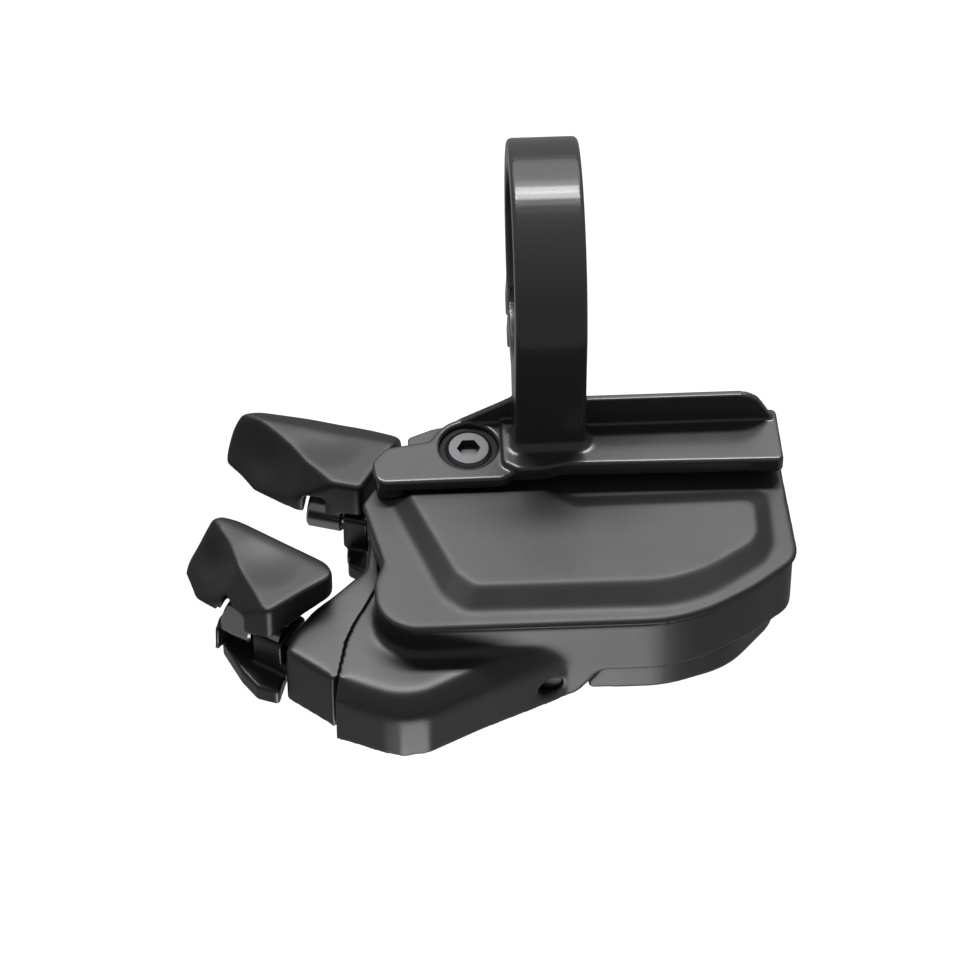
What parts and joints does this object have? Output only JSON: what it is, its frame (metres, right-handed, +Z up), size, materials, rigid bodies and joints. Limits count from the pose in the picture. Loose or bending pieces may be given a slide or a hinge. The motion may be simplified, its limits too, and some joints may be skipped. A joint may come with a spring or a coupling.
{
  "type": "thumb shifter",
  "caption": "Wireless handlebar pod with sprung, tiltable thumb paddles on one side, hung from a one-piece band clamp with a pinch bolt.",
  "frame": {"origin": "centre of the handlebar clamp's bore, at the middle of the band's width", "axes": "+X along the handlebar, away from the grip and the paddles; +Y forward, away from the rider; +Z up, square to the bracket's plate"},
  "size_m": [0.0708, 0.0593, 0.0485],
  "materials": {
    "bracket_metal": "satin black anodised aluminium",
    "bolt_steel": "dark zinc-plated steel",
    "barrel_steel": "bright ground steel",
    "brass": "plain turned brass",
    "lid_plastic": "fine matte dark grey",
    "body_plastic": "matte dark grey",
    "paddle_plastic": "matte glass-filled nylon",
    "arm_metal": "satin black",
    "rubber": "soft black seal",
    "cell_metal": "nickel-plated can",
    "board": "solder mask",
    "shield_metal": "tinned can",
    "chip": "moulded epoxy",
    "switch": "moulded switch bodies",
    "tray_plastic": "grey nylon"
  },
  "bodies": {
    "pod": {"clamp_bracket": "bracket_metal", "pinch_bolt": "bolt_steel", "pinch_nut": "bolt_steel", "mounting_bolt": "bolt_steel", "threaded_insert": "brass", "top_cover": "lid_plastic", "main_housing": "body_plastic", "side_shell": "body_plastic", "battery_cover": "body_plastic", "cover_seal": "rubber", "battery_screws": "bolt_steel", "case_screws": "bolt_steel", "battery_tray": "tray_plastic", "coin_cells": "cell_metal", "battery_contacts": "brass", "circuit_board": "board", "radio_shield": "shield_metal", "controller_chip": "chip", "tactile_switches": "switch", "upper_pivot_pin": "bolt_steel", "lower_pivot_pin": "bolt_steel", "upper_return_spring": "barrel_steel", "lower_return_spring": "barrel_steel"},
    "upper_lever": {"upper_arm": "arm_metal", "upper_pivot_bush": "brass", "upper_barrel": "barrel_steel"},
    "lower_lever": {"lower_arm": "arm_metal", "lower_pivot_bush": "brass", "lower_barrel": "barrel_steel"},
    "upper_thumb_paddle": {"upper_paddle": "paddle_plastic"},
    "lower_thumb_paddle": {"lower_paddle": "paddle_plastic"},
    "button": {"pairing_button": "chip"}
  },
  "joints": [
    {"name": "upper_press", "type": "hinge", "parent": "pod", "child": "upper_lever", "pos_m": [-0.0145, -0.0215, -0.0315], "axis": [0, 0, -1], "range_deg": [0, 7], "stiffness_Nm_per_rad": 0.35, "springref_deg": -2.86},
    {"name": "lower_press", "type": "hinge", "parent": "pod", "child": "lower_lever", "pos_m": [-0.021, -0.037, -0.0315], "axis": [0, 0, -1], "range_deg": [0, 7], "stiffness_Nm_per_rad": 0.35, "springref_deg": -2.86},
    {"name": "upper_paddle_tilt", "type": "hinge", "parent": "upper_lever", "child": "upper_thumb_paddle", "pos_m": [-0.0261, -0.0137, -0.0268], "axis": [0.9613, -0.2756, 0], "range_deg": [-8, 8]},
    {"name": "lower_paddle_tilt", "type": "hinge", "parent": "lower_lever", "child": "lower_thumb_paddle", "pos_m": [-0.0364, -0.02878, -0.0276], "axis": [0.8387, -0.5446, 0], "range_deg": [-8, 8]},
    {"name": "pairing_press", "type": "slide", "parent": "pod", "child": "button", "axis": [0, 1, 0], "range_m": [0, 0.0004], "stiffness_N_per_m": 1500, "springref_m": -0.0003}
  ]
}
